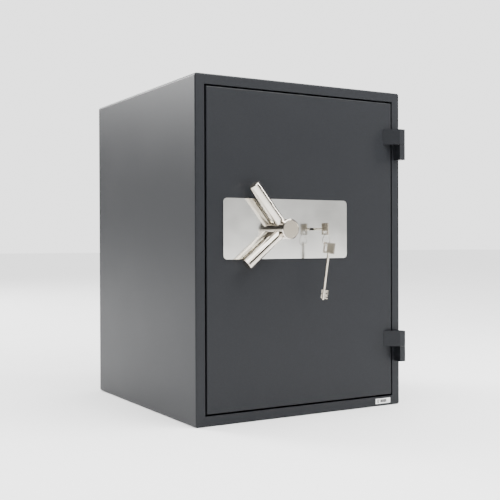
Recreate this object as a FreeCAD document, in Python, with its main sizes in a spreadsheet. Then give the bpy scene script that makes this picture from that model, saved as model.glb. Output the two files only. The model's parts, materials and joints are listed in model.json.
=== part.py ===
import FreeCAD, Part
import math
import os
import re

import Sketcher
from FreeCAD import Placement, Rotation, Vector

# Free-standing safe. X runs right, Y runs back, Z runs up, in millimetres.
# The origin is the centre of the base, on the floor. The front plane is Y = -depth/2.

DIMENSIONS = {
    # how far a cutting block reaches past the metal it cuts
    "past": 1,
    # cabinet
    "width": 500, "depth": 510, "height": 680, "skin": 3, "strip": 20, "wall": 60,
    "corner_round": 5, "front_round": 2.5, "return_depth": 30, "frame_metal": 4,
    "jamb_back": 100, "liner": 2, "seal_width": 14, "seal_thick": 2.5, "seal_inset": 4,
    "anchor_hole": 7, "sleeve_wall": 2, "floor_anchor_x": 125, "floor_anchor_y": 20,
    "wall_anchor_x": 125, "wall_anchor_z": 470, "label_x": 184, "label_width": 40,
    "label_z": 5, "label_tall": 11, "label_thick": 0.2,
    # door
    "door_gap": 4.2, "end_gap": 3.6, "hinge_gap": 2.6, "door_plate": 10, "door_thick": 27,
    "door_edge": 1.5, "pan": 2,
    "box_half": 176, "box_low": 68, "box_high": 612, "box_deep": 51, "box_metal": 2,
    "cover_metal": 1.5, "screw_shank": 1.9, "screw_head": 4, "lock_screw_head": 3,
    "screw_rise": 2,
    "thread": 10, "post_left": 115, "post_right": 150, "post_mid": 300, "post_inset": 22,
    "post_round": 5, "hard_left": 108, "hard_right": 85, "hard_low": 335, "hard_margin": 3,
    # hinges
    "hinge_z_low": 95.5, "hinge_z_high": 533, "hinge_half": 33, "hinge_inner": 236,
    "hinge_outer": 250, "hinge_proud": 20, "pin_front": 12, "hinge_pin": 4, "hinge_fit": 0.05,
    "leaf_start": 205.6, "leaf_clear": 1, "leaf_round": 6.9, "washer_thick": 0.4,
    "washer_wide": 6.5, "pin_short": 2, "leaf_edge": 0.5,
    # escutcheon and handle
    "plate_x": -42, "plate_z": 382, "plate_wide": 296, "plate_tall": 120,
    "plate_metal": 2, "plate_round": 8, "hub_x": -63.5, "hub_z": 381, "hub_half": 20,
    "slot_margin": 0.5, "slot_cut": 4.7, "collar": 4, "spindle_tail": 6,
    "hub_front": 48, "hub_chamfer": 1.5, "arm_half": 11, "arm_reach": 112,
    "arm_front": 24, "arm_chamfer": 1, "arm_angle": 129, "spindle": 8, "bush_wall": 3,
    "run_fit": 0.05, "gap": 0.4,
    # boltwork
    "gear_module": 1.6, "gear_teeth": 20, "gear_front": 33, "gear_long": 20,
    "backlash": 0.25, "bolt_half": 10, "bolt_front": 52, "bolt_clear": 0.4,
    "bolt_tip": 178, "bolt_z_mid": 280, "bolt_z_step": 180, "carriage_x": 140,
    "carriage_wide": 8, "bar_front": 34, "bar_thick": 8, "vertical_front": 44,
    "rack_back": 13, "side_rack_back": 11, "rack_end": 12, "rack_spare": 9, "bar_drop": 11,
    "bar_tall": 12, "bolt_long": 44, "bolt_lap": 42, "socket_deep": 16, "upright_socket": 24,
    "dog_half": 8, "dog_tip": 197, "dog_root": 16, "dog_clear": 1, "dog_end_clear": 3,
    "dog_back_clear": 2, "hard_metal": 4, "guide_low": 225, "guide_high": 415,
    "guide_tall": 10, "guide_end": 112, "guide_lift": 0.3,
    # lock
    "key_x": 23.5, "key_z": 382, "case_left": -16, "case_right": 66, "case_low": 366,
    "case_high": 432, "case_deep": 42, "case_metal": 2, "lockbolt_half": 7,
    "lockbolt_front": 65.5, "lockbolt_thick": 5.5, "lug_x": 31, "lug_wide": 10,
    "lug_top": 364, "lever_x": 48, "lever_z": 420, "post": 3, "boss": 6.5,
    "lockbolt_long": 40, "lever_front": 45, "lever_pitch": 3.2, "lever_metal": 2.4,
    "lever_left": 2, "lever_right": 56, "lever_low": 369, "lever_high": 426,
    "lever_clear": 3.5,
    # key
    "bow_front": 52, "bow_back": 30, "bow_half": 12, "bow_thick": 3, "slot_front": 48,
    "slot_back": 34, "slot_wide": 5, "bridge": 2.5, "shaft": 2.5, "key_long": 116.5,
    "bit_long": 18, "bit_start": 96, "bit_thick": 2.4, "bit_short_side": 4.5,
    "bit_long_side": 9.5, "notch_start": 2.5, "notch_pitch": 3.6, "notch_wide": 2,
    "shaft_lap": 2, "hang": 2, "ring_wire": 0.6, "ring_small": 3.2, "ring_large": 9,
    "ring_front": 44, "ring_bottom": 349, "spare_turn": 35, "spare_lean": 7.5,
    # shelves
    "shelf_metal": 2, "shelf_fold": 20, "shelf_low": 235, "shelf_high": 425,
    "shelf_clear": 1, "shelf_end": 10, "lip_clear": 4, "shelf_front": 120, "rail_wide": 20,
    "rail_metal": 2, "rail_end": 10, "clip": 8, "clip_tall": 4, "clip_inset": 2,
}

doc = FreeCAD.newDocument("safe")
sheet = doc.addObject("Spreadsheet::Sheet", "dims")
for row, (name, value) in enumerate(DIMENSIONS.items(), start=1):
    sheet.set(f"A{row}", name)
    sheet.set(f"B{row}", str(value))
    sheet.setAlias(f"B{row}", name)
doc.recompute()

ALIAS = re.compile(r"\b(" + "|".join(DIMENSIONS) + r")\b")
TURNS = {
    "x": Rotation(Vector(0, 1, 0), 90),
    "y": Rotation(Vector(1, 0, 0), -90),
    "z": Rotation(),
}
FRONT = "-depth/2"
PARTS = []


def dim(name):
    return float(sheet.get(name))


def bind(feature, prop, text):
    feature.setExpression(prop, ALIAS.sub(r"dims.\1", text))


def bind_place(feature, point):
    for letter, text in zip("xyz", point):
        bind(feature, f".Placement.Base.{letter}", text)


def behind(*names):
    """The Y of a plane that many named distances behind the front plane."""
    return " + ".join([FRONT, *names])


def box(x, y, z):
    """A block between two limits on each axis."""
    solid = doc.addObject("Part::Box", "block")
    for prop, (low, high) in zip(("Length", "Width", "Height"), (x, y, z)):
        bind(solid, prop, f"({high}) - ({low})")
    bind_place(solid, (x[0], y[0], z[0]))
    return solid


def around(centre, half):
    return f"({centre}) - ({half})", f"({centre}) + ({half})"


def grown(limits, by):
    return f"{limits[0]} - {by}", f"{limits[1]} + {by}"


def rod(axis, start, radius, length):
    """A cylinder that starts at a point and runs along +axis."""
    solid = doc.addObject("Part::Cylinder", "rod")
    solid.Placement = Placement(Vector(), TURNS[axis])
    bind(solid, "Radius", radius)
    bind(solid, "Height", length)
    bind_place(solid, start)
    return solid


def fuse(*solids):
    joined = doc.addObject("Part::MultiFuse", "fused")
    joined.Shapes = list(solids)
    return joined


def group(*solids):
    """Separate identical solids that share one node."""
    together = doc.addObject("Part::Compound", "group")
    together.Links = list(solids)
    return together


def cut(base, *tools):
    result = doc.addObject("Part::Cut", "cut")
    result.Base = base
    result.Tool = tools[0] if len(tools) == 1 else fuse(*tools)
    return result


def dress(kind, base, size, wanted):
    """A Part::Fillet or Part::Chamfer on the edges that wanted() picks."""
    doc.recompute()
    value = dim(size)
    picks = [i for i, edge in enumerate(base.Shape.Edges, start=1) if wanted(edge)]
    result = doc.addObject(f"Part::{kind}", kind.lower())
    result.Base = base
    result.Edges = [(i, value, value) for i in picks]
    return result


def runs_along(edge, axis):
    straight = edge.Curve.TypeId == "Part::GeomLine"
    return straight and abs(edge.tangentAt(edge.FirstParameter).dot(axis)) > 0.999


def lies_at(edge, axis, value):
    return all(abs(vertex.Point.dot(axis) - value) < 0.01 for vertex in edge.Vertexes)


X_AXIS, Y_AXIS, Z_AXIS = Vector(1, 0, 0), Vector(0, 1, 0), Vector(0, 0, 1)


def keep(label, solid):
    """Names a finished sub-part, which gives it a file of its own."""
    solid.Label = label
    PARTS.append(solid)
    return solid


def ring_of(inside_x, inside_z, y, metal):
    """A rectangular ring: inside limits, depth limits, and metal thickness around it."""
    outer = box(
        (f"{inside_x[0]} - {metal}", f"{inside_x[1]} + {metal}"), y,
        (f"{inside_z[0]} - {metal}", f"{inside_z[1]} + {metal}"),
    )
    return cut(outer, box(inside_x, grown(y, "past"), inside_z))


def profile(name, plane, points, offset, length):
    """A PartDesign body: a closed outline of bound points, padded along the plane's normal."""
    body = doc.addObject("PartDesign::Body", name)
    sketch = body.newObject("Sketcher::SketchObject", name + "_outline")
    origin = next(item for item in body.Origin.OriginFeatures if item.Role == plane)
    sketch.AttachmentSupport = [(origin, "")]
    sketch.MapMode = "FlatFace"
    bind(sketch, ".AttachmentOffset.Base.z", offset)
    places = [Vector(*(evaluate(text) for text in point)) for point in points]
    for here, there in zip(places, places[1:] + places[:1]):
        sketch.addGeometry(Part.LineSegment(here, there), False)
    for line in range(len(points)):
        sketch.addConstraint(Sketcher.Constraint("Coincident", line, 2, (line + 1) % len(points), 1))
    for line, point in enumerate(points):
        for kind, text in zip(("DistanceX", "DistanceY"), point):
            number = sketch.addConstraint(Sketcher.Constraint(kind, -1, 1, line, 1, evaluate(text)))
            bind(sketch, f"Constraints[{number}]", text)
    pad = body.newObject("PartDesign::Pad", name + "_pad")
    pad.Profile = sketch
    bind(pad, "Length", length)
    return body


def evaluate(text):
    """The number an expression of sheet names gives."""
    scratch = ALIAS.sub(lambda found: str(dim(found.group(1))), text)
    return float(FreeCAD.Units.Quantity(scratch).Value)


# ---------------------------------------------------------------- cabinet

OPEN_X = "-width/2 + strip", "width/2 - strip"
OPEN_Z = "strip", "height - strip"
INNER_X = "-width/2 + wall", "width/2 - wall"
INNER_Z = "wall", "height - wall"
SHOULDER = behind("return_depth")
SHOULDER_BACK = behind("return_depth", "frame_metal")
JAMB_BACK = behind("jamb_back")
ROOM_BACK = "depth/2 - wall"


def anchor_rods(radius):
    """Two cylinders down through the floor and two out through the rear wall."""
    rods = []
    for side in ("-", ""):
        floor = side + "floor_anchor_x", "floor_anchor_y", "-past"
        rear = side + "wall_anchor_x", "depth/2 - wall - past", "wall_anchor_z"
        rods.append(rod("z", floor, radius, "wall + 2*past"))
        rods.append(rod("y", rear, radius, "wall + 2*past"))
    return rods


def make_outer_shell():
    block = box(("-width/2", "width/2"), (FRONT, "depth/2"), ("0", "height"))
    soft = dress("Fillet", block, "corner_round", lambda edge: runs_along(edge, Y_AXIS))
    front = -dim("depth") / 2
    soft = dress("Fillet", soft, "front_round", lambda edge: lies_at(edge, Y_AXIS, front))
    room = box(
        ("-width/2 + skin", "width/2 - skin"), (behind("skin"), "depth/2 - skin"),
        ("skin", "height - skin"),
    )
    mouth = box(OPEN_X, (behind("-past"), behind("skin", "past")), OPEN_Z)
    rebate = ring_of(OPEN_X, OPEN_Z, (behind("skin/2"), SHOULDER), "skin")
    keep("outer_shell", cut(fuse(cut(soft, room, mouth), rebate), *anchor_rods("anchor_hole")))


def bolt_pockets(extra):
    """The spaces beyond the jambs that the thrown bolts and the dog bolts enter."""
    y = behind("bolt_front")
    radius = f"bolt_half + bolt_clear + {extra}"
    pockets = []
    for level in (-1, 0, 1):
        start = f"-width/2 + wall - socket_deep - {extra}", y, f"bolt_z_mid + ({level}) * bolt_z_step"
        pockets.append(rod("x", start, radius, f"socket_deep + past + {extra}"))
        if level:
            x = "width/2 - wall - past", f"dog_tip + dog_end_clear + {extra}"
            z = around(f"bolt_z_mid + ({level}) * bolt_z_step", f"dog_half + dog_clear + {extra}")
            back = behind("bolt_front", "dog_half", "dog_back_clear")
            pockets.append(box(x, (SHOULDER_BACK, back), z))
    left, right = rack_lines()
    top = left, y, "height - wall - past"
    low = right, y, f"wall - upright_socket - {extra}"
    pockets.append(rod("z", top, radius, f"upright_socket + past + {extra}"))
    pockets.append(rod("z", low, radius, f"upright_socket + past + {extra}"))
    return pockets


def rack_lines():
    """X of the middle of the two upright racks, left and right of the pinion."""
    reach = f"(gear_module * (gear_teeth/2 + {DEDENDUM}) + rack_back/2)"
    return f"hub_x - {reach}", f"hub_x + {reach}"


def make_frame():
    outer_x, outer_z = grown(INNER_X, "frame_metal"), grown(INNER_Z, "frame_metal")
    shoulder = cut(
        box(OPEN_X, (SHOULDER, SHOULDER_BACK), OPEN_Z),
        box(INNER_X, grown((SHOULDER, SHOULDER_BACK), "past"), INNER_Z),
    )
    jamb = cut(
        box(outer_x, (behind("return_depth", "frame_metal/2"), JAMB_BACK), outer_z),
        box(INNER_X, (SHOULDER, behind("jamb_back", "past")), INNER_Z),
    )
    keep("door_frame", cut(fuse(shoulder, jamb), *bolt_pockets("0")))


def make_filler():
    """Five cast slabs inside the skin: a back, two sides, a floor and a roof."""
    across = "-width/2 + skin", "width/2 - skin"
    upright = "skin", "height - skin"
    y = behind("skin"), ROOM_BACK
    slabs = [
        box(across, (ROOM_BACK, "depth/2 - skin"), upright),
        box((across[0], INNER_X[0]), y, upright),
        box((INNER_X[1], across[1]), y, upright),
        box(INNER_X, y, (upright[0], INNER_Z[0])),
        box(INNER_X, y, (INNER_Z[1], upright[1])),
    ]
    mouth_x, mouth_z = grown(OPEN_X, "skin"), grown(OPEN_Z, "skin")
    mouth = box(mouth_x, (behind("skin", "-past"), SHOULDER), mouth_z)
    shoulder = box(OPEN_X, (behind("return_depth", "-past"), SHOULDER_BACK), OPEN_Z)
    throat = box(
        grown(INNER_X, "frame_metal"), (SHOULDER, JAMB_BACK), grown(INNER_Z, "frame_metal"),
    )
    rods = anchor_rods("anchor_hole + sleeve_wall")
    hollow = fuse(mouth, shoulder, throat, *bolt_pockets("skin/2"), *rods)
    keep("wall_filler", group(*(cut(slab, hollow) for slab in slabs)))


def make_liner():
    block = box(INNER_X, (JAMB_BACK, ROOM_BACK), INNER_Z)
    room = box(
        ("-width/2 + wall + liner", "width/2 - wall - liner"),
        (behind("jamb_back", "-past"), "depth/2 - wall - liner"),
        ("wall + liner", "height - wall - liner"),
    )
    keep("inner_liner", cut(block, room, *anchor_rods("anchor_hole")))


def make_seal():
    inset = "door_gap + seal_inset"
    outer = grown(OPEN_X, f"-({inset})"), grown(OPEN_Z, f"-({inset})")
    inner = grown(outer[0], "-seal_width"), grown(outer[1], "-seal_width")
    y = f"{SHOULDER} - seal_thick", SHOULDER
    keep("fire_seal", cut(box(outer[0], y, outer[1]), box(inner[0], grown(y, "past"), inner[1])))


def make_anchor_sleeves():
    floor, rear = [], []
    for side in ("-", ""):
        start = side + "floor_anchor_x", "floor_anchor_y", "skin"
        tube = rod("z", start, "anchor_hole + sleeve_wall", "wall - skin")
        floor.append(cut(tube, rod("z", start, "anchor_hole", "wall")))
        start = side + "wall_anchor_x", "depth/2 - wall", "wall_anchor_z"
        tube = rod("y", start, "anchor_hole + sleeve_wall", "wall - skin")
        rear.append(cut(tube, rod("y", start, "anchor_hole", "wall")))
    keep("floor_anchor_sleeves", group(*floor))
    keep("rear_anchor_sleeves", group(*rear))


HINGES = {"lower": "hinge_z_low", "upper": "hinge_z_high"}
PIN_X = "(hinge_inner + hinge_outer)/2"
PIN_Y = behind("-pin_front")


def make_hinges():
    pins, washers = [], []
    front = behind("-hinge_proud")
    leaf_back = behind("-leaf_clear")
    for name, z in HINGES.items():
        axis = PIN_X, PIN_Y, z
        knuckle = box(("hinge_inner", "hinge_outer"), (front, FRONT), (z, f"{z} + hinge_half"))
        keep(f"hinge_knuckle_{name}", cut(knuckle, rod("z", axis, "hinge_pin", "hinge_half + past")))
        pins.append(rod("z", axis, "hinge_pin", "2*hinge_half + washer_thick - pin_short"))
        start = PIN_X, PIN_Y, f"{z} + hinge_half"
        disc = rod("z", start, "washer_wide", "washer_thick")
        washers.append(cut(disc, rod("z", start, "hinge_pin + hinge_fit", "washer_thick")))
        outline = [
            ("leaf_start", FRONT), ("leaf_start", behind("-leaf_edge")), ("hinge_inner", front),
            ("hinge_outer", front), ("hinge_outer", leaf_back),
            ("width/2 - strip - hinge_gap", leaf_back), ("width/2 - strip - hinge_gap", FRONT),
        ]
        leaf = profile(
            f"leaf_{name}", "XY_Plane", outline, f"{z} + hinge_half + washer_thick", "hinge_half",
        )
        corner = dim("hinge_outer"), evaluate(leaf_back)
        leaf = dress(
            "Fillet", leaf, "leaf_round",
            lambda edge: lies_at(edge, X_AXIS, corner[0]) and lies_at(edge, Y_AXIS, corner[1]),
        )
        bore = rod("z", axis, "hinge_pin + hinge_fit", "2*hinge_half + washer_thick - pin_short")
        keep(f"hinge_leaf_{name}", cut(leaf, bore))
    keep("hinge_pins", group(*pins))
    keep("hinge_washers", group(*washers))


def make_label():
    x = "label_x", "label_x + label_width"
    keep("front_label", box(x, (behind("-label_thick"), FRONT), ("label_z", "label_z + label_tall")))


SHELVES = {"lower": "shelf_low", "upper": "shelf_high"}
RAIL_FACE = "width/2 - wall - liner - rail_metal"
RAIL_Y = {"front": "-shelf_front", "rear": "shelf_front"}


def make_shelves():
    rails, clips = [], []
    for mirror in (-1, 1):
        for y in RAIL_Y.values():
            x = sorted_limits(mirror, RAIL_FACE, "width/2 - wall - liner")
            z_limits = "wall + liner + rail_end", "height - wall - liner - rail_end"
            rails.append(box(x, around(y, "rail_wide/2"), z_limits))
            for z in SHELVES.values():
                x = sorted_limits(mirror, f"{RAIL_FACE} - clip", RAIL_FACE)
                clips.append(box(x, around(y, "rail_wide/2 - clip_inset"), (f"{z} - clip_tall", z)))
    keep("shelf_rails", group(*rails))
    keep("shelf_clips", group(*clips))
    for name, z in SHELVES.items():
        side = f"{RAIL_FACE} - shelf_clear"
        x = f"-({side})", side
        y = f"{JAMB_BACK} + shelf_end", "depth/2 - wall - liner - shelf_end"
        deck = box(x, y, (z, f"{z} + shelf_metal"))
        lip_z = f"{z} - shelf_fold", f"{z} + shelf_metal"
        lip_x = f"-({side}) + clip + lip_clear", f"{side} - clip - lip_clear"
        lip = box(lip_x, (y[0], f"{y[0]} + shelf_metal"), lip_z)
        rear_lip = box(lip_x, (f"{y[1]} - shelf_metal", y[1]), lip_z)
        keep(f"shelf_{name}", fuse(deck, lip, rear_lip))


def sorted_limits(mirror, low, high):
    return (low, high) if mirror > 0 else (f"-({high})", f"-({low})")


# ---------------------------------------------------------------- door

DOOR_X = "-width/2 + strip + door_gap", "width/2 - strip - hinge_gap"
DOOR_Z = "strip + end_gap", "height - strip - end_gap"
DOOR_BACK = behind("door_thick")
HARD_BACK = behind("door_thick", "hard_metal")
BOX_X = "-box_half", "box_half"
BOX_Z = "box_low", "box_high"
BOX_BACK = behind("door_thick", "box_deep")
BOLT_LEVELS = tuple(f"bolt_z_mid + ({level}) * bolt_z_step" for level in (-1, 0, 1))
BUSH_HOLE = "spindle + run_fit + bush_wall"
POST_Z = "box_low + post_inset", "post_mid", "box_high - post_inset"
POSTS = [(x, z) for x in ("-post_left", "post_right") for z in POST_Z]


def spindle_hole(radius, back):
    front = behind("-plate_metal", "-past")
    return rod("y", ("hub_x", front, "hub_z"), radius, f"({back}) - ({front})")


def key_slot(back, margin):
    """The opening the key's bits pass through on their way in."""
    x = around("key_x", f"bow_half + {margin}")
    return box(x, (behind("-plate_metal", "-past"), back), around("key_z", f"slot_cut/2 + {margin}"))


def make_door_slab():
    plate_back = behind("door_plate")
    plate = box(DOOR_X, (FRONT, plate_back), DOOR_Z)
    front = -dim("depth") / 2
    plate = dress("Fillet", plate, "door_edge", lambda edge: lies_at(edge, Y_AXIS, front))
    inner_x, inner_z = grown(DOOR_X, "-pan"), grown(DOOR_Z, "-pan")
    fill = box(inner_x, (plate_back, f"{DOOR_BACK} - pan"), inner_z)
    pan = cut(
        box(DOOR_X, (plate_back, DOOR_BACK), DOOR_Z),
        box(inner_x, (f"{plate_back} - past", f"{DOOR_BACK} - pan"), inner_z),
    )
    hard_z = "hard_low", "case_high + hard_margin"
    hard = box(("-hard_left", "hard_right"), (DOOR_BACK, HARD_BACK), hard_z)
    layers = {"door_plate": plate, "door_filler": fill, "door_pan": pan, "hard_plate": hard}
    back = f"{HARD_BACK} + past"
    for label, layer in layers.items():
        keep(label, cut(layer, spindle_hole(BUSH_HOLE, back), key_slot(back, "3*slot_margin")))
    start = "hub_x", FRONT, "hub_z"
    tube = rod("y", start, BUSH_HOLE, "door_thick + hard_metal")
    keep("spindle_bush", cut(tube, rod("y", start, "spindle + run_fit", "door_thick + hard_metal")))


def make_escutcheon():
    x, z = around("plate_x", "plate_wide/2"), around("plate_z", "plate_tall/2")
    plate = box(x, (behind("-plate_metal"), FRONT), z)
    plate = dress("Fillet", plate, "plate_round", lambda edge: runs_along(edge, Y_AXIS))
    back = behind("past")
    middle_start = "key_x", behind("-plate_metal", "-past"), "key_z"
    middle = rod("y", middle_start, "shaft + gap", "plate_metal + 2*past")
    hole = spindle_hole("spindle + gap", back)
    keep("escutcheon_plate", cut(plate, hole, key_slot(back, "0"), middle))


def make_boltwork_box():
    inner_x, inner_z = grown(BOX_X, "-box_metal"), grown(BOX_Z, "-box_metal")
    tray = ring_of(inner_x, inner_z, (DOOR_BACK, BOX_BACK), "box_metal")
    y = behind("bolt_front")
    hole = "bolt_half + bolt_clear"
    through = "box_metal + 2*past"
    tools = [rod("x", ("-box_half - past", y, level), hole, through) for level in BOLT_LEVELS]
    left, right = rack_lines()
    tools.append(rod("z", (left, y, "box_high - box_metal - past"), hole, through))
    tools.append(rod("z", (right, y, "box_low - past"), hole, through))
    dogs = []
    for level in (BOLT_LEVELS[0], BOLT_LEVELS[2]):
        start = "box_half - dog_root", y, level
        length = "dog_tip - box_half + dog_root"
        tools.append(rod("x", start, "dog_half", length))
        dogs.append(rod("x", start, "dog_half", length))
    keep("boltwork_box", cut(tray, *tools))
    keep("dog_bolts", group(*dogs))


def make_boltwork_cover():
    cover_back = f"{BOX_BACK} + cover_metal"
    cover = box(BOX_X, (BOX_BACK, cover_back), BOX_Z)
    posts, screws, holes = [], [], []
    for x, z in POSTS:
        post = rod("y", (x, DOOR_BACK, z), "post_round", "box_deep")
        thread_start = x, f"{BOX_BACK} - thread", z
        shank = rod("y", thread_start, "screw_shank", "thread + cover_metal + screw_rise/2")
        head = rod("y", (x, cover_back, z), "screw_head", "screw_rise")
        posts.append(cut(post, rod("y", thread_start, "screw_shank", "thread + past")))
        holes.append(rod("y", thread_start, "screw_shank", "thread + cover_metal + past"))
        screws.append(fuse(shank, head))
    keep("boltwork_cover", cut(cover, *holes))
    keep("cover_posts", group(*posts))
    keep("cover_screws", group(*screws))


def make_carriage_rails():
    x = "-box_half + box_metal", "-guide_end"
    y = DOOR_BACK, behind("bar_front", "bar_thick", "-guide_lift")
    rails = [box(x, y, (z, f"{z} + guide_tall")) for z in ("guide_low", "guide_high")]
    keep("carriage_rails", group(*rails))


# ---------------------------------------------------------------- handle and boltwork

PRESSURE = math.radians(20)
DEDENDUM = 1.25
FLANK_STEPS = 6


def put_shape(name, shape):
    """A Part::Feature for a shape that Part's own functions make."""
    feature = doc.addObject("Part::Feature", name)
    feature.Shape = shape
    return feature


def make_handle():
    front = behind("-hub_front")
    hub = rod("y", ("hub_x", front, "hub_z"), "hub_half", "hub_front - plate_metal - gap")
    hub = dress("Chamfer", hub, "hub_chamfer", lambda edge: lies_at(edge, Y_AXIS, evaluate(front)))
    keep("handle_hub", hub)
    for name, extra in (("upper", 0), ("lower", 90)):
        angle = math.radians(dim("arm_angle") + extra)
        outward = Vector(math.cos(angle), 0, math.sin(angle))
        arm = doc.addObject("Part::Cylinder", "arm")
        arm.Placement = Placement(Vector(), Rotation(Z_AXIS, outward))
        bind(arm, "Radius", "arm_half")
        bind(arm, "Height", "arm_reach")
        bind_place(arm, ("hub_x", behind("-arm_front"), "hub_z"))
        tip = Vector(dim("hub_x"), 0, dim("hub_z")).dot(outward) + dim("arm_reach")
        arm = dress("Chamfer", arm, "arm_chamfer", lambda edge: lies_at(edge, outward, tip))
        hollow = rod("y", ("hub_x", behind("-hub_front"), "hub_z"), "hub_half", "hub_front")
        keep(f"handle_arm_{name}", cut(arm, hollow))
    start = behind("-plate_metal - gap")
    length = "plate_metal + gap + gear_front + gear_long + spindle_tail"
    keep("spindle", rod("y", ("hub_x", start, "hub_z"), "spindle", length))
    collar_start = "hub_x", behind("gear_front", "gear_long"), "hub_z"
    collar = rod("y", collar_start, "spindle + collar", "collar")
    keep("spindle_collar", cut(collar, rod("y", collar_start, "spindle", "collar")))


def involute_angle(base, radius):
    turn = math.sqrt((radius / base) ** 2 - 1)
    return turn - math.atan(turn)


def make_pinion():
    module, teeth = dim("gear_module"), int(dim("gear_teeth"))
    pitch = module * teeth / 2
    base, tip, root = pitch * math.cos(PRESSURE), pitch + module, pitch - DEDENDUM * module
    half_tooth = math.pi / (2 * teeth) + involute_angle(base, pitch)
    flank = []
    for step in range(FLANK_STEPS + 1):
        radius = base + (tip - base) * step / FLANK_STEPS
        flank.append((radius, half_tooth - involute_angle(base, radius)))
    flank.insert(0, (root, half_tooth))
    points = []
    for tooth in range(teeth):
        centre = 2 * math.pi * tooth / teeth
        side = [(radius, centre - angle) for radius, angle in flank]
        other = [(radius, centre + angle) for radius, angle in reversed(flank)]
        points += [Vector(r * math.cos(a), 0, r * math.sin(a)) for r, a in side + other]
    outline = Part.Face(Part.makePolygon(points + points[:1]))
    gear = outline.extrude(Vector(0, dim("gear_long"), 0))
    bore = Part.makeCylinder(dim("spindle"), dim("gear_long"), Vector(), Y_AXIS)
    pinion = put_shape("pinion", gear.cut(bore))
    bind_place(pinion, ("hub_x", behind("gear_front"), "hub_z"))
    keep("drive_pinion", pinion)


def rack_outline(low, high):
    """Rack teeth from low to high along a line. The pitch point is 0 and lies in a gap."""
    module = dim("gear_module")
    step = math.pi * module
    lean = math.tan(PRESSURE)
    half = step / 4 - dim("backlash") / 2
    root, tip = -DEDENDUM * module, module
    points = []
    for tooth in range(math.ceil(low / step), math.floor(high / step)):
        centre = (tooth + 0.5) * step
        points += [
            (centre - half + root * lean, root), (centre - half + tip * lean, tip),
            (centre + half - tip * lean, tip), (centre + half - root * lean, root),
        ]
    return points


def rack_solid(low, high, back, along, up, depth, place):
    """A toothed bar. along runs with the teeth and up points at the pinion."""
    root = -DEDENDUM * dim("gear_module")
    line = [(low, root - back), (low, root), *rack_outline(low, high), (high, root), (high, root - back)]
    points = [along * s + up * t for s, t in line]
    face = Part.Face(Part.makePolygon(points + points[:1]))
    solid = face.extrude(Vector(0, depth, 0))
    solid.translate(place)
    return solid


def make_racks():
    pitch, hub = dim("gear_module") * dim("gear_teeth") / 2, Vector(dim("hub_x"), 0, dim("hub_z"))
    front = -dim("depth") / 2
    bar_y, upright_y = front + dim("bar_front"), front + dim("vertical_front")
    depth = dim("bar_thick")
    cover = math.pi / 2 * pitch + dim("rack_spare")
    short = dim("rack_end")
    place = hub + Vector(0, bar_y, -pitch)
    teeth = rack_solid(-short, cover, dim("side_rack_back"), X_AXIS, Z_AXIS, depth, place)
    side = put_shape("side_teeth", teeth)
    bar_top = f"hub_z - gear_module * (gear_teeth/2 + {DEDENDUM}) - bar_drop"
    bar_z = bar_top + " - bar_tall", bar_top
    bar_depth = behind("bar_front"), behind("bar_front", "bar_thick")
    bar = box(("-carriage_x - carriage_wide", "lug_x + lug_wide"), bar_depth, bar_z)
    lug = box(
        ("lug_x", "lug_x + lug_wide"), (behind("bar_front"), behind("lockbolt_front", "lockbolt_thick")),
        (bar_z[0], "lug_top"),
    )
    keep("side_rack", fuse(side, bar, lug))
    upright = {
        "top_rack": (-X_AXIS, -cover, short, "box_high - bolt_lap", Z_AXIS),
        "bottom_rack": (X_AXIS, -short, cover, "box_low + bolt_lap", Z_AXIS),
    }
    left, right = rack_lines()
    for label, (side_of, low, high, end, along) in upright.items():
        up = -side_of
        place = hub + side_of * pitch + Vector(0, upright_y, 0)
        teeth = rack_solid(low, high, dim("rack_back"), along, up, depth, place)
        middle = left if label == "top_rack" else right
        z = ("hub_z", end) if label == "top_rack" else (end, "hub_z")
        bar_depth = behind("vertical_front"), behind("vertical_front", "bar_thick")
        bar = box(around(middle, "rack_back/2"), bar_depth, z)
        keep(label, fuse(put_shape(label + "_teeth", teeth), bar))


def make_bolts():
    y = behind("bolt_front")
    bolts = [
        rod("x", ("-bolt_tip", y, level), "bolt_half", "bolt_tip - carriage_x - carriage_wide")
        for level in BOLT_LEVELS
    ]
    keep("side_bolts", group(*bolts))
    x = "-carriage_x - carriage_wide", "-carriage_x"
    y_limits = behind("bar_front", "bar_thick"), behind("bolt_front", "bolt_half")
    z = f"{BOLT_LEVELS[0]} - bolt_half", f"{BOLT_LEVELS[2]} + bolt_half"
    keep("side_carriage", box(x, y_limits, z))
    left, right = rack_lines()
    keep("top_bolt", rod("z", (left, y, "box_high - bolt_lap"), "bolt_half", "bolt_long"))
    keep("bottom_bolt", rod("z", (right, y, "box_low + bolt_lap - bolt_long"), "bolt_half", "bolt_long"))


# ---------------------------------------------------------------- lock and keys

CASE_BACK = f"{HARD_BACK} + case_deep"
CASE_X = "case_left", "case_right"
CASE_Z = "case_low", "case_high"
LEVERS = 5
NOTCH_DEPTHS = 2.5, 5, 1.5, 4
BACK_NOTCH = {"along": ("bit_start + 7", "bit_start + 10"), "deep": "1.2"}


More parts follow.
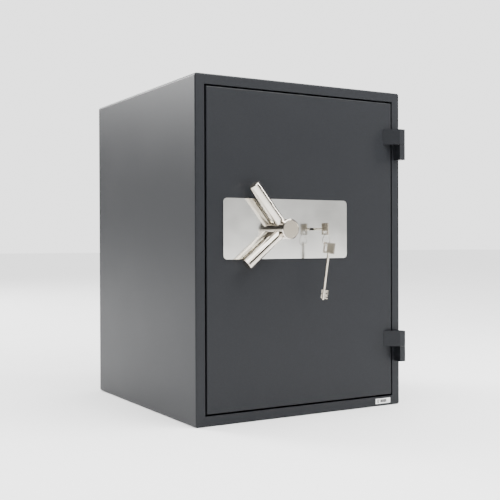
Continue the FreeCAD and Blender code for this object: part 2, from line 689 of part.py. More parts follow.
def make_lock():
    inner_x, inner_z = grown(CASE_X, "-case_metal"), grown(CASE_Z, "-case_metal")
    shell = cut(
        box(CASE_X, (HARD_BACK, CASE_BACK), CASE_Z),
        box(inner_x, (f"{HARD_BACK} + case_metal", f"{CASE_BACK} + past"), inner_z),
    )
    boss_x = (inner_x[0], inner_x[0] + " + boss"), (inner_x[1] + " - boss", inner_x[1])
    boss_z = (inner_z[0], inner_z[0] + " + boss"), (inner_z[1] + " - boss", inner_z[1])
    bosses, taps, holes, screws = [], [], [], []
    for x in boss_x:
        for z in boss_z:
            bosses.append(box(x, (HARD_BACK, CASE_BACK), z))
            middle_x, middle_z = f"({x[0]} + {x[1]})/2", f"({z[0]} + {z[1]})/2"
            start = middle_x, f"{CASE_BACK} - thread", middle_z
            taps.append(rod("y", start, "screw_shank", "thread + past"))
            holes.append(rod("y", start, "screw_shank", "thread + case_metal + past"))
            head_start = middle_x, f"{CASE_BACK} + case_metal", middle_z
            head = rod("y", head_start, "lock_screw_head", "screw_rise")
            screws.append(fuse(rod("y", start, "screw_shank", "thread + case_metal"), head))
    exit_hole = box(
        around("key_x", "lockbolt_half + gap"),
        (behind("lockbolt_front", "-gap"), behind("lockbolt_front", "lockbolt_thick", "gap")),
        grown(("case_low", "case_low + case_metal"), "past"),
    )
    slot = key_slot(f"{HARD_BACK} + case_metal + past", "3*slot_margin")
    keep("lock_case", cut(fuse(shell, *bosses), slot, exit_hole, *taps))
    keep("lock_cover", cut(box(CASE_X, (CASE_BACK, f"{CASE_BACK} + case_metal"), CASE_Z), *holes))
    keep("lock_screws", group(*screws))
    post_start = "lever_x", f"{HARD_BACK} + case_metal", "lever_z"
    keep("lever_post", rod("y", post_start, "post", "case_deep - case_metal"))
    bolt_depth = behind("lockbolt_front"), behind("lockbolt_front", "lockbolt_thick")
    bolt_z = "case_low", "case_low + lockbolt_long"
    keep("lock_bolt", box(around("key_x", "lockbolt_half"), bolt_depth, bolt_z))
    levers = []
    for number in range(LEVERS):
        front = behind("lever_front", f"{number} * lever_pitch")
        y = front, front + " + lever_metal"
        plate = box(("lever_left", "lever_right"), y, ("lever_low", "lever_high"))
        notch = rod("y", ("key_x", front, "key_z"), "bow_half + lever_clear", "lever_metal")
        pivot = rod("y", ("lever_x", front, "lever_z"), "post + run_fit", "lever_metal")
        levers.append(cut(plate, notch, pivot))
    keep("lever_pack", group(*levers))


def key_blank():
    """A double-bit key along +Y. The origin is the middle of the bow's outer end."""
    half = "bow_thick/2"
    bow = box(around("0", half), ("0", "bow_front - bow_back"), around("0", "bow_half"))
    slot = box(
        around("0", "bow_thick"), ("bow_front - slot_front", "bow_front - slot_back"),
        ("bridge - bow_half", "bridge - bow_half + slot_wide"),
    )
    shaft_start = "bow_front - bow_back - shaft_lap"
    shaft = rod("y", ("0", shaft_start, "0"), "shaft", f"key_long - ({shaft_start})")
    bit_z = "-bit_short_side", "bit_long_side"
    bits = box(around("0", "bit_thick/2"), ("bit_start", "bit_start + bit_long"), bit_z)
    across = around("0", "bit_thick")
    notches = []
    for number, deep in enumerate(NOTCH_DEPTHS):
        start = f"bit_start + notch_start + {number} * notch_pitch"
        z = f"bit_long_side - {deep}", "bit_long_side + past"
        notches.append(box(across, (start, start + " + notch_wide"), z))
    z = "-bit_short_side - past", f"{BACK_NOTCH['deep']} - bit_short_side"
    notches.append(box(across, BACK_NOTCH["along"], z))
    return fuse(cut(bow, slot), shaft, cut(bits, *notches))


def make_keys():
    key = key_blank()
    bind_place(key, ("key_x", behind("-bow_front"), "key_z"))
    keep("key", key)
    wire_y = -dim("depth") / 2 - dim("ring_front")
    top = Vector(dim("key_x"), wire_y, dim("key_z") - dim("bow_half") + dim("bridge") / 2)
    low = Vector(dim("key_x"), wire_y, dim("ring_bottom") + dim("ring_large"))
    small, large = dim("ring_small"), dim("ring_large")
    slope = math.asin((large - small) / (top.z - low.z))
    right = Vector(math.cos(slope), 0, math.sin(slope))
    left = Vector(-right.x, 0, right.z)
    path = Part.Wire([
        Part.Arc(top + right * small, top + Z_AXIS * small, top + left * small).toShape(),
        Part.LineSegment(top + left * small, low + left * large).toShape(),
        Part.Arc(low + left * large, low - Z_AXIS * large, low + right * large).toShape(),
        Part.LineSegment(low + right * large, top + right * small).toShape(),
    ])
    tangent = Vector(right.z, 0, -right.x)
    section = Part.Wire([Part.makeCircle(dim("ring_wire"), top + right * small, tangent)])
    keep("key_ring", put_shape("ring", path.makePipeShell([section], True, True)))
    turn, lean = math.radians(dim("spare_turn")), math.radians(dim("spare_lean"))
    across = Vector(math.sin(turn), -math.cos(turn), 0)
    face = Vector(-math.cos(turn), -math.sin(turn), 0)
    down = across * -math.sin(lean) - Z_AXIS * math.cos(lean)
    side = across * math.cos(lean) - Z_AXIS * math.sin(lean)
    hang = dim("bow_front") - dim("slot_front") + dim("hang")
    slot_mid = dim("bridge") + dim("slot_wide") / 2 - dim("bow_half")
    wire_low = Vector(dim("key_x"), wire_y, dim("ring_bottom"))
    spare = key_blank()
    turned = Rotation(face, down, side, "ZXY")
    spare.Placement = Placement(wire_low - down * hang - side * slot_mid, turned)
    keep("spare_key", spare)


for make in (
    make_outer_shell, make_frame, make_filler, make_liner, make_seal, make_anchor_sleeves,
    make_hinges, make_label, make_shelves, make_door_slab, make_escutcheon, make_boltwork_box,
    make_boltwork_cover, make_carriage_rails, make_handle, make_pinion, make_racks, make_bolts,
    make_lock, make_keys,
):
    make()
doc.recompute()

for item in doc.Objects:
    if {"Invalid", "Error"} & set(item.State):
        raise RuntimeError(f"{item.Label} failed: {item.State}")
for solid in PARTS:
    if solid.Shape.isNull() or not solid.Shape.isValid():
        raise RuntimeError(f"{solid.Label} has no valid shape")
os.makedirs("parts", exist_ok=True)
for solid in PARTS:
    solid.Shape.exportStep(f"parts/{solid.Label}.step")
    print(f"{solid.Label:22s} solids {len(solid.Shape.Solids)} volume {solid.Shape.Volume / 1000:.1f} cm3")
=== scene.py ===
import json
import math

import bmesh
import bpy
from mathutils import Matrix, Vector


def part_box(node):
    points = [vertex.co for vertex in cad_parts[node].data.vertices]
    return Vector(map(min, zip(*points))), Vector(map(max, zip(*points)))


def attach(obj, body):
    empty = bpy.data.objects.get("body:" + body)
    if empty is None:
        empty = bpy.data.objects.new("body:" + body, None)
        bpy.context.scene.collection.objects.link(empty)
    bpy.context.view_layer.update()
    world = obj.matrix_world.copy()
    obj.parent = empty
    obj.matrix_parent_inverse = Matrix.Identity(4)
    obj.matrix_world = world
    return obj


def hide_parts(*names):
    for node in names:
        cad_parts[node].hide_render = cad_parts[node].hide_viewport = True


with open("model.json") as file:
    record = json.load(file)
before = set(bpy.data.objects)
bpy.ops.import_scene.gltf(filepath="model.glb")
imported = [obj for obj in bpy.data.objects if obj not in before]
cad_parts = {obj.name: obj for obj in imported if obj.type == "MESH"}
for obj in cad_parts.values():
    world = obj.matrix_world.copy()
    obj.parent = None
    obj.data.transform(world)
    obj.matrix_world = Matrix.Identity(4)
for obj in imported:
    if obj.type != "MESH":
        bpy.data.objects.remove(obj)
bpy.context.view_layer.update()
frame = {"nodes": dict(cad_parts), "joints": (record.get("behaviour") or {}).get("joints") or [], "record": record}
MM = 0.001


# ---------------------------------------------------------------- node helpers

def new_material(name):
    """A material with its principled shader and object coordinates."""
    material = bpy.data.materials.new(name)
    material.use_nodes = True
    nodes = material.node_tree.nodes
    shader = nodes["Principled BSDF"]
    place = nodes.new("ShaderNodeTexCoord")
    return material, material.node_tree, shader, place.outputs["Object"]


def stretched(tree, source, scale):
    """Coordinates scaled per axis, for a grain that runs one way."""
    mapping = tree.nodes.new("ShaderNodeMapping")
    mapping.inputs["Scale"].default_value = scale
    tree.links.new(source, mapping.inputs["Vector"])
    return mapping.outputs["Vector"]


def noise(tree, source, scale, detail=4.0, roughness=0.55):
    node = tree.nodes.new("ShaderNodeTexNoise")
    node.inputs["Scale"].default_value = scale
    node.inputs["Detail"].default_value = detail
    node.inputs["Roughness"].default_value = roughness
    tree.links.new(source, node.inputs["Vector"])
    return node.outputs["Fac"]


def spread(tree, source, low, high):
    """Maps the middle of a noise to a range of values."""
    node = tree.nodes.new("ShaderNodeMapRange")
    node.inputs["From Min"].default_value = 0.3
    node.inputs["From Max"].default_value = 0.7
    node.inputs["To Min"].default_value = low
    node.inputs["To Max"].default_value = high
    tree.links.new(source, node.inputs["Value"])
    return node.outputs["Result"]


def tint(tree, source, dark, light):
    """A colour that a noise moves between two close colours."""
    ramp = tree.nodes.new("ShaderNodeValToRGB")
    ramp.color_ramp.elements[0].position = 0.3
    ramp.color_ramp.elements[1].position = 0.7
    ramp.color_ramp.elements[0].color = (*dark, 1)
    ramp.color_ramp.elements[1].color = (*light, 1)
    tree.links.new(source, ramp.inputs["Fac"])
    return ramp.outputs["Color"]


def bump(tree, shader, height, depth, strength=1.0):
    node = tree.nodes.new("ShaderNodeBump")
    node.inputs["Strength"].default_value = strength
    node.inputs["Distance"].default_value = depth
    tree.links.new(height, node.inputs["Height"])
    tree.links.new(node.outputs["Normal"], shader.inputs["Normal"])


# ---------------------------------------------------------------- materials

def powder_coat(name, dark, light, rough, grain=1.0):
    """Fine textured powder coat: a pebbled grain under a satin film."""
    material, tree, shader, place = new_material(name)
    pebbles = noise(tree, place, 850.0, 3.0, 0.6)
    patches = noise(tree, place, 9.0, 3.0)
    tree.links.new(tint(tree, pebbles, dark, light), shader.inputs["Base Color"])
    tree.links.new(spread(tree, patches, rough - 0.012, rough + 0.012), shader.inputs["Roughness"])
    shader.inputs["Specular IOR Level"].default_value = 0.22
    bump(tree, shader, pebbles, 0.16 * MM * grain, 0.55)
    return material


def brushed(name, dark, light, rough, scale, depth=0.02):
    """Metal with a directional grain, under faint clouds: scale is small along the grain."""
    material, tree, shader, place = new_material(name)
    lines = noise(tree, stretched(tree, place, scale), 1.0, 6.0, 0.7)
    clouds = noise(tree, place, 14.0, 2.0)
    both = tree.nodes.new("ShaderNodeMath")
    both.operation = "MULTIPLY_ADD"
    tree.links.new(clouds, both.inputs[0])
    both.inputs[1].default_value = 0.6
    weaker = tree.nodes.new("ShaderNodeMath")
    weaker.operation = "MULTIPLY"
    weaker.inputs[1].default_value = 0.4
    tree.links.new(lines, weaker.inputs[0])
    tree.links.new(weaker.outputs["Value"], both.inputs[2])
    tree.links.new(tint(tree, both.outputs["Value"], dark, light), shader.inputs["Base Color"])
    tree.links.new(spread(tree, clouds, rough - 0.03, rough + 0.04), shader.inputs["Roughness"])
    shader.inputs["Metallic"].default_value = 1.0
    bump(tree, shader, lines, depth * MM, 0.5)
    return material


def polished(name, dark, light, rough):
    """Plated metal with faint handling marks."""
    material, tree, shader, place = new_material(name)
    marks = noise(tree, place, 260.0, 6.0, 0.7)
    clouds = noise(tree, place, 35.0, 3.0)
    tree.links.new(tint(tree, clouds, dark, light), shader.inputs["Base Color"])
    tree.links.new(spread(tree, marks, rough, rough + 0.05), shader.inputs["Roughness"])
    shader.inputs["Metallic"].default_value = 1.0
    bump(tree, shader, marks, 0.004 * MM, 0.4)
    return material


def rough_solid(name, dark, light, rough, scale, depth):
    """A matt non-metal such as cast filling, rubber or paper."""
    material, tree, shader, place = new_material(name)
    grain = noise(tree, place, scale, 6.0, 0.65)
    tree.links.new(tint(tree, grain, dark, light), shader.inputs["Base Color"])
    tree.links.new(spread(tree, grain, rough - 0.06, rough), shader.inputs["Roughness"])
    bump(tree, shader, grain, depth * MM, 0.6)
    return material


def turned_face(name, centre, dark, light, rough):
    """A lathe-turned disc: fine rings about an axis that runs along Y."""
    material, tree, shader, place = new_material(name)
    shift = tree.nodes.new("ShaderNodeMapping")
    shift.inputs["Location"].default_value = (-centre.x, -centre.y, -centre.z)
    tree.links.new(place, shift.inputs["Vector"])
    rings = tree.nodes.new("ShaderNodeTexWave")
    rings.wave_type = "RINGS"
    rings.rings_direction = "Y"
    rings.inputs["Scale"].default_value = 420.0
    rings.inputs["Distortion"].default_value = 0.6
    tree.links.new(shift.outputs["Vector"], rings.inputs["Vector"])
    tree.links.new(tint(tree, rings.outputs["Fac"], dark, light), shader.inputs["Base Color"])
    sheen = spread(tree, rings.outputs["Fac"], rough, rough + 0.05)
    tree.links.new(sheen, shader.inputs["Roughness"])
    shader.inputs["Metallic"].default_value = 1.0
    bump(tree, shader, rings.outputs["Fac"], 0.004 * MM, 0.4)
    return material


ANTHRACITE = powder_coat("cabinet_coat", (0.0070, 0.0077, 0.0093), (0.0144, 0.0157, 0.0186), 0.42)
INTERIOR = powder_coat("interior_coat", (0.25, 0.257, 0.26), (0.32, 0.328, 0.33), 0.45, 0.9)
STAINLESS = brushed(
    "brushed_stainless", (0.60, 0.595, 0.565), (0.76, 0.755, 0.72), 0.12, (6, 6, 1500), 0.006,
)
HANDLE = polished("handle_chrome", (0.59, 0.54, 0.47), (0.67, 0.62, 0.55), 0.12)
NICKEL = polished("key_nickel", (0.47, 0.43, 0.36), (0.58, 0.535, 0.455), 0.2)
GRIP = polished("key_grip", (0.13, 0.115, 0.09), (0.25, 0.228, 0.185), 0.26)
BOLT = brushed("ground_steel", (0.62, 0.62, 0.61), (0.72, 0.72, 0.71), 0.2, (900, 900, 900), 0.008)
PLATED = brushed("zinc_plate", (0.50, 0.50, 0.47), (0.62, 0.62, 0.58), 0.36, (90, 90, 260), 0.012)
BRASS = brushed(
    "machined_brass", (0.62, 0.44, 0.18), (0.74, 0.55, 0.26), 0.28, (700, 60, 700), 0.012,
)
MINERAL = rough_solid("mineral_fill", (0.40, 0.38, 0.34), (0.58, 0.56, 0.51), 0.95, 120.0, 0.8)
RUBBER = rough_solid("seal_rubber", (0.012, 0.012, 0.012), (0.022, 0.022, 0.022), 0.8, 500.0, 0.08)
PAPER = rough_solid("label_paper", (0.80, 0.80, 0.79), (0.88, 0.88, 0.87), 0.6, 900.0, 0.01)
INK = rough_solid("label_ink", (0.018, 0.018, 0.019), (0.032, 0.032, 0.033), 0.6, 900.0, 0.005)
# SHADOW is a near-black film of painted shade, laid where a gap would only show shade
SHADOW = rough_solid("painted_slot_shade", (0.010, 0.010, 0.011), (0.018, 0.018, 0.019), 0.8, 300.0, 0.02)

SLOT_MATERIALS = {
    "cabinet_paint": ANTHRACITE, "interior_paint": INTERIOR, "mineral_fill": MINERAL,
    "seal": RUBBER, "plated_steel": PLATED, "bolt_steel": BOLT, "brushed_plate": STAINLESS,
    "polished_handle": HANDLE, "brass": BRASS, "key_nickel": NICKEL, "label_paper": PAPER,
}
EDGE_MM = {
    "cabinet_paint": 0.5, "interior_paint": 0.4, "plated_steel": 0.3, "bolt_steel": 0.6,
    "brushed_plate": 0.3, "polished_handle": 0.25, "brass": 0.2, "key_nickel": 0.25,
}
SHARP_NODES = {"drive_pinion", "key_ring"}
BEVEL_STEPS, BEVEL_ANGLE = 2, 40

# sizes of the drawn details, in millimetres, and angles in degrees
HUB_RIM, HUB_RISE = 2.6, 0.35
# the GROOVE sizes place a near-black ring of painted shade round the hub disc, not a cut groove
GROOVE_START, GROOVE_END, GROOVE_RISE = 0.1, 0.9, 0.08
SPARE_TURN, SPARE_LEAN = 35, 7.5
HANG, SLOT_MIDDLE, BOW_THICK = 6, 7, 3
GRIP_LOW, GRIP_HIGH, GRIP_CELLS, GRIP_RISE = (1.6, -3.0), (20.4, 10.8), (13, 10), 0.45
HEAD_RADIUS = {"cover_screws": 4.0, "lock_screws": 3.0}
SCREW_RISE, POST_MIDDLE = 2, 300
RAIL_WIDE, RAIL_METAL, RAIL_PITCH, SLOT_TALL = 20, 2, 25, 4
PRESSING_INSET, PRESSING_CORNER = 26, 14
GUIDE_CLEAR, GUIDE_WALL, GUIDE_RISE, GUIDE_EDGE = 0.45, 3.5, 2.5, 0.4
PRINT_RISE = 0.05

# (inset, height above the cover) steps of a pressed panel's edge, in millimetres
PRESSING_STEPS = (0, -0.2), (0, 0.0), (1.0, 0.6), (2.6, 2.9), (4.0, 3.7), (6.0, 4.0)

# (share of the radius, share of the height) steps of a button head, and its socket
HEAD_STEPS = (1, 0), (1, 0.3), (0.93, 0.62), (0.78, 0.88), (0.62, 1)
SOCKET_WIDE, SOCKET_FLOOR = 0.95, 0.25

# the label's print, as shares of its width and height
PRINT_ROWS = (0.10, 0.26), (0.10, 0.22), (0.10, 0.24)
ROW_TOP, ROW_PITCH, ROW_TALL = 0.68, 0.22, 0.13
STRIPES, STRIPE_START, STRIPE_PITCH = 12, 0.32, 0.034
STRIPE_WIDE, STRIPE_NARROW, STRIPE_LOW, STRIPE_HIGH = 0.031, 0.024, 0.24, 0.8

# the camera: place in metres, turns in degrees, lens and sensor in millimetres
CAMERA_PLACE = -1.008, -1.754, 0.354
CAMERA_YAW, CAMERA_PITCH, CAMERA_ROLL = 30.38, -0.46, -0.19
CAMERA_LENS, CAMERA_SENSOR, CAMERA_NEAR = 63.3, 36.0, 0.05

# the studio
FLOOR_HALF, FLOOR_DROP = 30.0, 0.4
SUN_SPREAD = 70
AROUND_STRENGTH, BACKDROP_STRENGTH = 0.08, 2.5


def soften(piece, width):
    """Rounds a piece's sharp edges a little, so that they catch the light."""
    edge = piece.modifiers.new("soft_edges", "BEVEL")
    edge.width = width
    edge.segments = BEVEL_STEPS
    edge.limit_method = "ANGLE"
    edge.angle_limit = math.radians(BEVEL_ANGLE)
    edge.harden_normals = True


def dress_cad_nodes():
    for entry in frame["record"]["subparts"]:
        piece = frame["nodes"][entry["node"]]
        material = SLOT_MATERIALS[entry["material_slot"]]
        piece.data.materials.clear()
        piece.data.materials.append(material)
        width = EDGE_MM.get(entry["material_slot"])
        if width and entry["node"] not in SHARP_NODES:
            soften(piece, width * MM)


# ---------------------------------------------------------------- mesh helpers

def piece_from(name, mesh_builder, material, body):
    """A new piece from a bmesh that mesh_builder fills."""
    mesh = bpy.data.meshes.new(name)
    work = bmesh.new()
    mesh_builder(work)
    bmesh.ops.recalc_face_normals(work, faces=work.faces)
    work.to_mesh(mesh)
    work.free()
    piece = bpy.data.objects.new(name, mesh)
    bpy.context.scene.collection.objects.link(piece)
    mesh.materials.append(material)
    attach(piece, body)
    return piece


def add_block(work, low, high):
    low, high = Vector(low), Vector(high)
    size = high - low
    spot = Matrix.Translation((low + high) / 2) @ Matrix.Diagonal((*size, 1))
    bmesh.ops.create_cube(work, size=1, matrix=spot)


def turned_rings(work, outline, centre, axis, steps):
    """Rings of vertices from an outline of (radius, distance along axis) points."""
    turn = Vector((0, 0, 1)).rotation_difference(Vector(axis)).to_matrix()
    rings = []
    for radius, along in outline:
        ring = []
        for step in range(steps):
            angle = 2 * math.pi * step / steps
            point = Vector((radius * math.cos(angle), radius * math.sin(angle), along))
            ring.append(work.verts.new(Vector(centre) + turn @ point))
        rings.append(ring)
    return rings


def join_rings(work, rings, following):
    """Quads between each ring and the one that follows it."""
    for first, second in zip(rings, following):
        for step in range(len(first)):
            after = (step + 1) % len(first)
            work.faces.new((first[step], first[after], second[after], second[step]))


def add_lathe(work, outline, centre, axis, steps=48):
    """Turns an open outline about an axis and caps both ends."""
    rings = turned_rings(work, outline, centre, axis, steps)
    join_rings(work, rings, rings[1:])
    work.faces.new(rings[0])
    work.faces.new(rings[-1])


def add_tube(work, outline, centre, axis, steps=48):
    """Turns a closed outline about an axis, which makes a ring with a hole."""
    rings = turned_rings(work, outline, centre, axis, steps)
    join_rings(work, rings, rings[1:] + rings[:1])


def add_loops(work, loops):
    """A closed skin through loops of points, capped at both ends."""
    rings = [[work.verts.new(point) for point in loop] for loop in loops]
    join_rings(work, rings, rings[1:])
    work.faces.new(rings[0])
    work.faces.new(rings[-1])


def rounded_outline(low, high, radius, y, steps=6):
    """A rectangle with round corners in a plane of constant Y, from (x, z) to (x, z)."""
    corners = (
        (high[0] - radius, high[1] - radius, 0), (low[0] + radius, high[1] - radius, 90),
        (low[0] + radius, low[1] + radius, 180), (high[0] - radius, low[1] + radius, 270),
    )
    points = []
    for x, z, start in corners:
        for step in range(steps + 1):
            angle = math.radians(start + 90 * step / steps)
            points.append(Vector((x + radius * math.cos(angle), y, z + radius * math.sin(angle))))
    return points


def add_knurled_pad(work, place, low, high, base, cells, rise):
    """A thin pad of small pyramids. low and high are its (y, z) corners in the place's frame."""
    rows, columns = cells
    peak = base + math.copysign(rise, base)
    valley = base + math.copysign(rise, base) * 0.3

    def at(x, row, column):
        y = low[0] + (high[0] - low[0]) * row / rows
        z = low[1] + (high[1] - low[1]) * column / columns
        return work.verts.new(place @ Vector((x, y, z)))

    grid = [[at(valley, row, column) for column in range(columns + 1)] for row in range(rows + 1)]
    for row in range(rows):
        for column in range(columns):
            tip = at(peak, row + 0.5, column + 0.5)
            ring = (
                grid[row][column], grid[row][column + 1],
                grid[row + 1][column + 1], grid[row + 1][column],
            )
            for step in range(4):
                work.faces.new((ring[step], ring[(step + 1) % 4], tip))
    rim = grid[0] + [line[-1] for line in grid[1:]]
    rim += grid[-1][-2::-1] + [line[0] for line in grid[-2:0:-1]]
    sink = place.to_3x3() @ Vector((base - valley, 0, 0))
    back = [work.verts.new(vertex.co + sink) for vertex in rim]
    join_rings(work, [rim], [back])
    work.faces.new(back)


# ---------------------------------------------------------------- camera, light and floor

def turned_pair(first, second, angle):
    """Two square axes turned in their own plane, the first towards the second."""
    return (
        first * math.cos(angle) + second * math.sin(angle),
        second * math.cos(angle) - first * math.sin(angle),
    )


def make_camera():
    """The view from in front and to the left, a little above half height."""
    yaw, pitch, roll = map(math.radians, (CAMERA_YAW, CAMERA_PITCH, CAMERA_ROLL))
    ahead = Vector((math.sin(yaw), math.cos(yaw), 0))
    right = Vector((math.cos(yaw), -math.sin(yaw), 0))
    up = Vector((0, 0, 1))
    ahead, up = turned_pair(ahead, up, pitch)
    right, up = turned_pair(right, up, roll)
    camera = bpy.data.objects.new("camera", bpy.data.cameras.new("camera"))
    turned = Matrix((right, up, -ahead)).transposed().to_4x4()
    camera.matrix_world = Matrix.Translation(CAMERA_PLACE) @ turned
    camera.data.lens = CAMERA_LENS
    camera.data.sensor_width = CAMERA_SENSOR
    camera.data.clip_start = CAMERA_NEAR
    bpy.context.scene.collection.objects.link(camera)
    bpy.context.scene.camera = camera


def make_floor():
    mesh = bpy.data.meshes.new("floor")
    half, level = FLOOR_HALF, -FLOOR_DROP * MM
    corners = [(-half, -half), (half, -half), (half, half), (-half, half)]
    mesh.from_pydata([(x, y, level) for x, y in corners], [], [(0, 1, 2, 3)])
    floor = bpy.data.objects.new("floor", mesh)
    pale = rough_solid("floor", (0.93, 0.93, 0.93), (0.95, 0.95, 0.95), 0.9, 3.0, 0.0)
    mesh.materials.append(pale)
    bpy.context.scene.collection.objects.link(floor)


def area_light(name, place, aim, size, power):
    light = bpy.data.lights.new(name, "AREA")
    light.shape = "RECTANGLE"
    light.size, light.size_y = size
    light.energy = power
    lamp = bpy.data.objects.new(name, light)
    lamp.location = place
    lamp.rotation_euler = (Vector(aim) - Vector(place)).to_track_quat("-Z", "Y").to_euler()
    bpy.context.scene.collection.objects.link(lamp)


def overhead_light(strength):
    """Even, soft light from straight above, which keeps the floor pale to the horizon."""
    light = bpy.data.lights.new("overhead", "SUN")
    light.energy = strength
    light.angle = math.radians(SUN_SPREAD)
    lamp = bpy.data.objects.new("overhead", light)
    bpy.context.scene.collection.objects.link(lamp)


def make_world():
    """Soft grey surroundings for light and reflections, behind a paler backdrop."""
    world = bpy.data.worlds.new("studio")
    world.use_nodes = True
    tree = world.node_tree
    around = tree.nodes["Background"]
    around.inputs["Color"].default_value = (1.0, 1.0, 1.0, 1)
    around.inputs["Strength"].default_value = AROUND_STRENGTH
    backdrop = tree.nodes.new("ShaderNodeBackground")
    backdrop.inputs["Color"].default_value = (1.0, 1.0, 1.0, 1)
    backdrop.inputs["Strength"].default_value = BACKDROP_STRENGTH
    seen = tree.nodes.new("ShaderNodeLightPath")
    mix = tree.nodes.new("ShaderNodeMixShader")
    tree.links.new(seen.outputs["Is Camera Ray"], mix.inputs["Fac"])
    tree.links.new(around.outputs["Background"], mix.inputs[1])
    tree.links.new(backdrop.outputs["Background"], mix.inputs[2])
    tree.links.new(mix.outputs["Shader"], tree.nodes["World Output"].inputs["Surface"])
    bpy.context.scene.world = world


make_camera()
make_floor()
make_world()
area_light("left_softbox", (-2.35, 4.1, 2.75), (0, 0.1, 0.57), (2.2, 1.9), 430)
area_light("front_card", (2.15, -3.4, 0.5), (-0.05, -0.25, 0.4), (2.0, 0.85), 5.2)
area_light("upper_softbox", (0.6, -1.4, 1.9), (0.0, -0.25, 0.8), (1.6, 0.8), 66)
area_light("right_strip", (2.2, -0.95, 1.25), (-0.05, -0.25, 0.4), (0.25, 1.2), 26)
area_light("top_strip", (-0.1, -2.7, 2.4), (-0.05, -0.25, 0.4), (1.4, 0.25), 14)
overhead_light(7.0)
dress_cad_nodes()


# ---------------------------------------------------------------- pieces

def make_label_print():
    """Plain dark bars on the small front label, with no writing."""
    low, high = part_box("front_label")
    front = low.y - PRINT_RISE * MM
    wide, tall = high.x - low.x, high.z - low.z

    def bars(work):
        for row, (start, end) in enumerate(PRINT_ROWS):
            z = low.z + tall * (ROW_TOP - ROW_PITCH * row)
            far = low.x + wide * end, low.y, z + tall * ROW_TALL
            add_block(work, (low.x + wide * start, front, z), far)
        for stripe in range(STRIPES):
            x = low.x + wide * (STRIPE_START + STRIPE_PITCH * stripe)
            thick = wide * (STRIPE_WIDE if stripe % 3 else STRIPE_NARROW)
            far = x + thick, low.y, low.z + tall * STRIPE_HIGH
            add_block(work, (x, front, low.z + tall * STRIPE_LOW), far)

    piece_from("label_print", bars, INK, "cabinet")


def make_hub_face():
    """The turned disc in the front of the hub, ringed by a thin near-black band of painted shade that stands for a
    fine groove.
    """
    low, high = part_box("handle_hub")
    centre = Vector(((low.x + high.x) / 2, low.y, (low.z + high.z) / 2))
    radius = (high.x - low.x) / 2 - HUB_RIM * MM
    rise = HUB_RISE * MM
    outline = [(radius, 0), (radius, rise * 0.6), (radius - rise, rise), (radius * 0.5, rise)]
    face = turned_face("hub_disc", centre, (0.47, 0.42, 0.345), (0.57, 0.515, 0.425), 0.16)

    def disc(work):
        add_lathe(work, outline, centre, (0, -1, 0), 96)

    piece_from("hub_face", disc, face, "handle")
    inner, outer = radius + GROOVE_START * MM, radius + GROOVE_END * MM
    lip = GROOVE_RISE * MM
    ring = [(inner, 0), (outer, 0), (outer, lip), (inner, lip)]

    # a near-black ring barely proud of the plate: painted shade of a groove round the disc
    def groove(work):
        add_tube(work, ring, centre, (0, -1, 0), 96)

    piece_from("hub_groove_painted_shade", groove, SHADOW, "handle")


def key_frames():
    """Each key body with the place of its bow's outer end: X across the bow, Y along the key."""
    low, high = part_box("key")
    middle = Vector(((low.x + high.x) / 2, low.y, (low.z + high.z) / 2))
    turn, lean = math.radians(SPARE_TURN), math.radians(SPARE_LEAN)
    across = Vector((math.sin(turn), -math.cos(turn), 0))
    face = Vector((-math.cos(turn), -math.sin(turn), 0))
    up = Vector((0, 0, 1))
    down = across * -math.sin(lean) - up * math.cos(lean)
    side = across * math.cos(lean) - up * math.sin(lean)
    hook = next(joint for joint in frame["joints"] if joint["child"] == "spare_key")
    end = Vector(hook["pos_m"]) - down * HANG * MM + side * SLOT_MIDDLE * MM
    turned = Matrix((face, down, side)).transposed().to_4x4()
    return {"key": Matrix.Translation(middle), "spare_key": Matrix.Translation(end) @ turned}


def make_key_grips():
    """Knurled pads on both faces of each key's bow."""
    for body, place in key_frames().items():
        def pads(work):
            low, high = ([value * MM for value in corner] for corner in (GRIP_LOW, GRIP_HIGH))
            for side in (-1, 1):
                base = side * BOW_THICK / 2 * MM
                add_knurled_pad(work, place, low, high, base, GRIP_CELLS, GRIP_RISE * MM)
        piece_from(f"{body}_grip", pads, GRIP, body)


def hex_radius(across_flats, angle):
    return across_flats / 2 / math.cos(angle % (math.pi / 3) - math.pi / 6)


def add_socket_screw(work, centre, radius, rise, steps=48):
    """A button head with a hexagon socket, seen from behind the door."""
    socket = radius * SOCKET_WIDE
    outline = [(radius * out, rise * up) for out, up in HEAD_STEPS]
    outline += [(None, rise), (None, rise * SOCKET_FLOOR)]
    loops = []
    for size, along in outline:
        loop = []
        for step in range(steps):
            angle = 2 * math.pi * step / steps
            reach = hex_radius(socket, angle) if size is None else size
            loop.append(centre + Vector((reach * math.cos(angle), along, reach * math.sin(angle))))
        loops.append(loop)
    add_loops(work, loops)


def make_screw_heads():
    """Socket screws on the boltwork cover and the lock cover."""
    for node, radius in HEAD_RADIUS.items():
        low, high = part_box(node)
        inset = radius * MM
        seat = high.y - SCREW_RISE * MM
        if node == "cover_screws":
            levels = low.z + inset, POST_MIDDLE * MM, high.z - inset
        else:
            levels = low.z + inset, high.z - inset

        def heads(work):
            for x in (low.x + inset, high.x - inset):
                for z in levels:
                    add_socket_screw(work, Vector((x, seat, z)), inset, SCREW_RISE * MM)

        piece = piece_from(f"{node}_heads", heads, BOLT, "door")
        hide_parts(node)


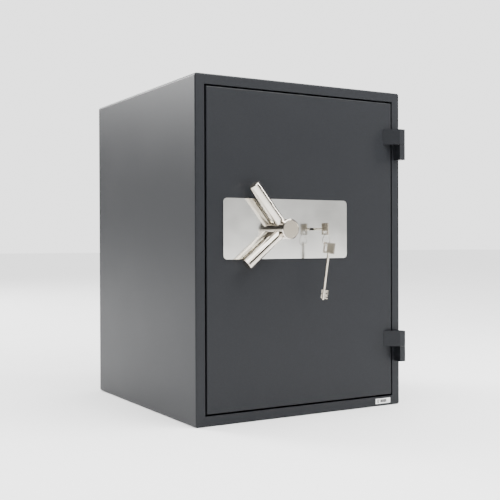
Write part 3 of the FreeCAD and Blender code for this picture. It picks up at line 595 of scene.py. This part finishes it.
def make_shelf_rails():
    """Slotted rails in place of the plain strips."""
    low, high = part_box("shelf_rails")
    wide, metal = RAIL_WIDE * MM, RAIL_METAL * MM
    slot_low, slot_high = wide * 0.25, wide * 0.75

    def rails(work):
        levels = [low.z]
        z = low.z + RAIL_PITCH * MM / 2
        while z + SLOT_TALL * MM < high.z:
            levels += [z, z + SLOT_TALL * MM]
            z += RAIL_PITCH * MM
        levels.append(high.z)
        for x in (low.x + metal, high.x - metal):
            for start in (low.y, high.y - wide):
                ys = start, start + slot_low, start + slot_high, start + wide
                grid = [[work.verts.new((x, y, level)) for y in ys] for level in levels]
                for row in range(len(levels) - 1):
                    for column in range(3):
                        if row % 2 and column == 1:
                            continue
                        ring = (
                            grid[row][column], grid[row][column + 1],
                            grid[row + 1][column + 1], grid[row + 1][column],
                        )
                        work.faces.new(ring if x > 0 else ring[::-1])

    piece = piece_from("shelf_rails_slotted", rails, PLATED, "cabinet")
    sheet = piece.modifiers.new("sheet", "SOLIDIFY")
    sheet.thickness = metal
    sheet.offset = 1.0
    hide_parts("shelf_rails")


def make_bolt_guides():
    """A turned guide ring in the side of the boltwork box round each thrown bolt."""
    low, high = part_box("boltwork_box")
    sides, tops, bottoms = (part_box(name) for name in ("side_bolts", "top_bolt", "bottom_bolt"))
    radius = (tops[1].x - tops[0].x) / 2
    depth = (sides[0].y + sides[1].y) / 2
    levels = sides[0].z + radius, (sides[0].z + sides[1].z) / 2, sides[1].z - radius
    inner = radius + GUIDE_CLEAR * MM
    outer = inner + GUIDE_WALL * MM
    rise = GUIDE_RISE * MM
    edge = GUIDE_EDGE * MM
    outline = [
        (inner, -edge), (outer, -edge), (outer, rise - edge),
        (outer - edge, rise), (inner + edge, rise), (inner, rise - edge),
    ]

    def rings(work):
        for level in levels:
            add_tube(work, outline, (low.x, depth, level), (-1, 0, 0))
        add_tube(work, outline, ((tops[0].x + tops[1].x) / 2, depth, high.z), (0, 0, 1))
        add_tube(work, outline, ((bottoms[0].x + bottoms[1].x) / 2, depth, low.z), (0, 0, -1))

    piece_from("bolt_guides", rings, BRASS, "door")


def make_cover_pressings():
    """Two shallow stiffening panels pressed into the boltwork cover."""
    low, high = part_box("boltwork_cover")
    posts_low, posts_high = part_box("cover_posts")
    inset = PRESSING_INSET * MM
    levels = (low.z + inset, POST_MIDDLE * MM - inset), (POST_MIDDLE * MM + inset, high.z - inset)

    def panels(work):
        for z_low, z_high in levels:
            loops = []
            for shrink, rise in PRESSING_STEPS:
                near = posts_low.x + inset + shrink * MM, z_low + shrink * MM
                far = posts_high.x - inset - shrink * MM, z_high - shrink * MM
                level = high.y + rise * MM
                loops.append(rounded_outline(near, far, PRESSING_CORNER * MM, level))
            add_loops(work, loops)

    piece_from("cover_pressings", panels, INTERIOR, "door")


make_label_print()
make_hub_face()
make_key_grips()
make_screw_heads()
make_shelf_rails()
make_cover_pressings()
make_bolt_guides()
